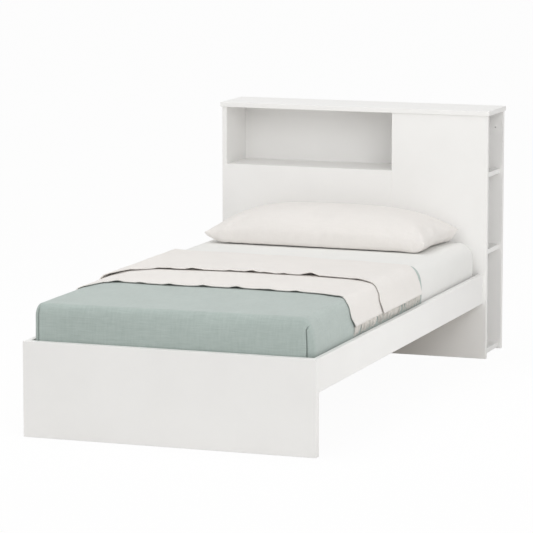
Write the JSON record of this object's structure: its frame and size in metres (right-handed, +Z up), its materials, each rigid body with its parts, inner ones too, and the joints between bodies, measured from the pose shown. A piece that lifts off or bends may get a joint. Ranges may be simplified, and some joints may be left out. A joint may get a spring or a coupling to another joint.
{
  "type": "bookcase headboard bed",
  "caption": "Single bed of white faced board with a bookcase headboard: an open niche, a side bay of shelves, a plain footboard, side rails, slats, mattress and bedding.",
  "frame": {"origin": "on the floor, under the middle of the bed's full length and width", "axes": "+X towards the side where the shelf bay is open, +Y from the foot to the headboard, +Z up"},
  "size_m": [1.082, 2.177, 0.948],
  "materials": {
    "white_board": "white melamine-faced board, satin",
    "slat_pine": "planed pine slats",
    "frame_pine": "planed pine battens, beam and legs",
    "strap_webbing": "woven cotton webbing",
    "zinc_steel": "zinc-plated steel",
    "dowel_beech": "fluted beech dowels",
    "glide_nylon": "moulded nylon",
    "mattress_ticking": "knitted white ticking",
    "sheet_cotton": "white cotton percale",
    "coverlet_weave": "sage green linen weave",
    "throw_weave": "pale beige linen weave with a fringe",
    "pillow_linen": "pale beige linen pillowcase"
  },
  "bodies": {
    "frame": {"back_panel": "white_board", "bay_shelf_bottom": "white_board", "bay_shelf_middle": "white_board", "bay_shelf_upper": "white_board", "beam_hanger_foot": "zinc_steel", "beam_hanger_head": "zinc_steel", "bracket_bolts": "zinc_steel", "cam_bolts": "zinc_steel", "cam_locks": "zinc_steel", "carcass_stretcher": "white_board", "centre_beam": "frame_pine", "centre_divider": "white_board", "centre_leg_foot": "frame_pine", "centre_leg_head": "frame_pine", "corner_bracket_foot_left": "zinc_steel", "corner_bracket_foot_right": "zinc_steel", "corner_bracket_head_left": "zinc_steel", "corner_bracket_head_right": "zinc_steel", "dowels": "dowel_beech", "footboard": "white_board", "left_side_panel": "white_board", "leg_glides": "glide_nylon", "lower_front_panel": "white_board", "niche_floor": "white_board", "side_rail_left": "white_board", "side_rail_right": "white_board", "slat_01": "slat_pine", "slat_02": "slat_pine", "slat_03": "slat_pine", "slat_04": "slat_pine", "slat_05": "slat_pine", "slat_06": "slat_pine", "slat_07": "slat_pine", "slat_08": "slat_pine", "slat_09": "slat_pine", "slat_10": "slat_pine", "slat_11": "slat_pine", "slat_12": "slat_pine", "slat_13": "slat_pine", "slat_14": "slat_pine", "slat_ledger_left": "frame_pine", "slat_ledger_right": "frame_pine", "slat_strap_left": "strap_webbing", "slat_strap_right": "strap_webbing", "tall_front_panel": "white_board", "top_panel": "white_board"},
    "mattress": {"mattress": "mattress_ticking", "fitted_sheet": "sheet_cotton", "coverlet": "coverlet_weave", "throw_blanket": "throw_weave"},
    "pillow": {"pillow": "pillow_linen"}
  },
  "joints": [
    {"name": "mattress_lift", "type": "slide", "parent": "frame", "child": "mattress", "axis": [0, 0, 1], "range_m": [0, 0.35]},
    {"name": "pillow_lift", "type": "slide", "parent": "mattress", "child": "pillow", "axis": [0, 0, 1], "range_m": [0, 0.3]}
  ]
}
